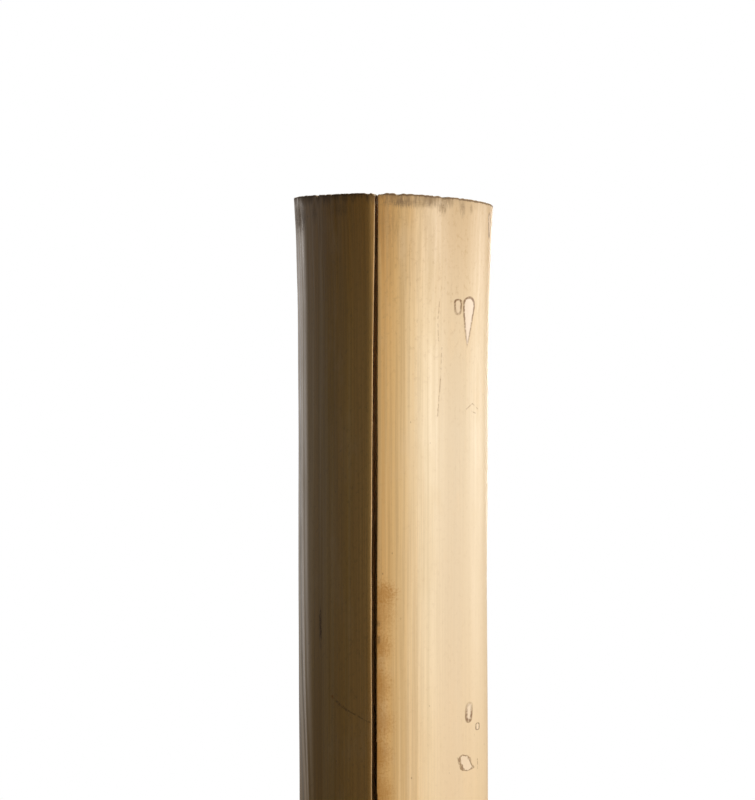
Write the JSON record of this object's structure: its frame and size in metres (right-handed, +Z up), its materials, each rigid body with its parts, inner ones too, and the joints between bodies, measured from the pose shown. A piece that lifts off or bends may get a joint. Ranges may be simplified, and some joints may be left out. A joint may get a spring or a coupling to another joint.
{
  "type": "cut bamboo cane",
  "caption": "Hollow cut length of dried bamboo cane with a node near its sawn foot, a flattened side and a drying crack, standing on end.",
  "frame": {"origin": "middle of the object's box at the level of the sawn foot", "axes": "+Z up along the stem from the foot to the sawn top, +X to the right seen from the front, -Y towards the side with the crack"},
  "size_m": [0.0872, 0.0872, 0.3618],
  "materials": {
    "cane_skin": "satin dried bamboo skin with fine lengthwise fibre lines"
  },
  "bodies": {
    "root": {"cane": "cane_skin"}
  },
  "joints": []
}
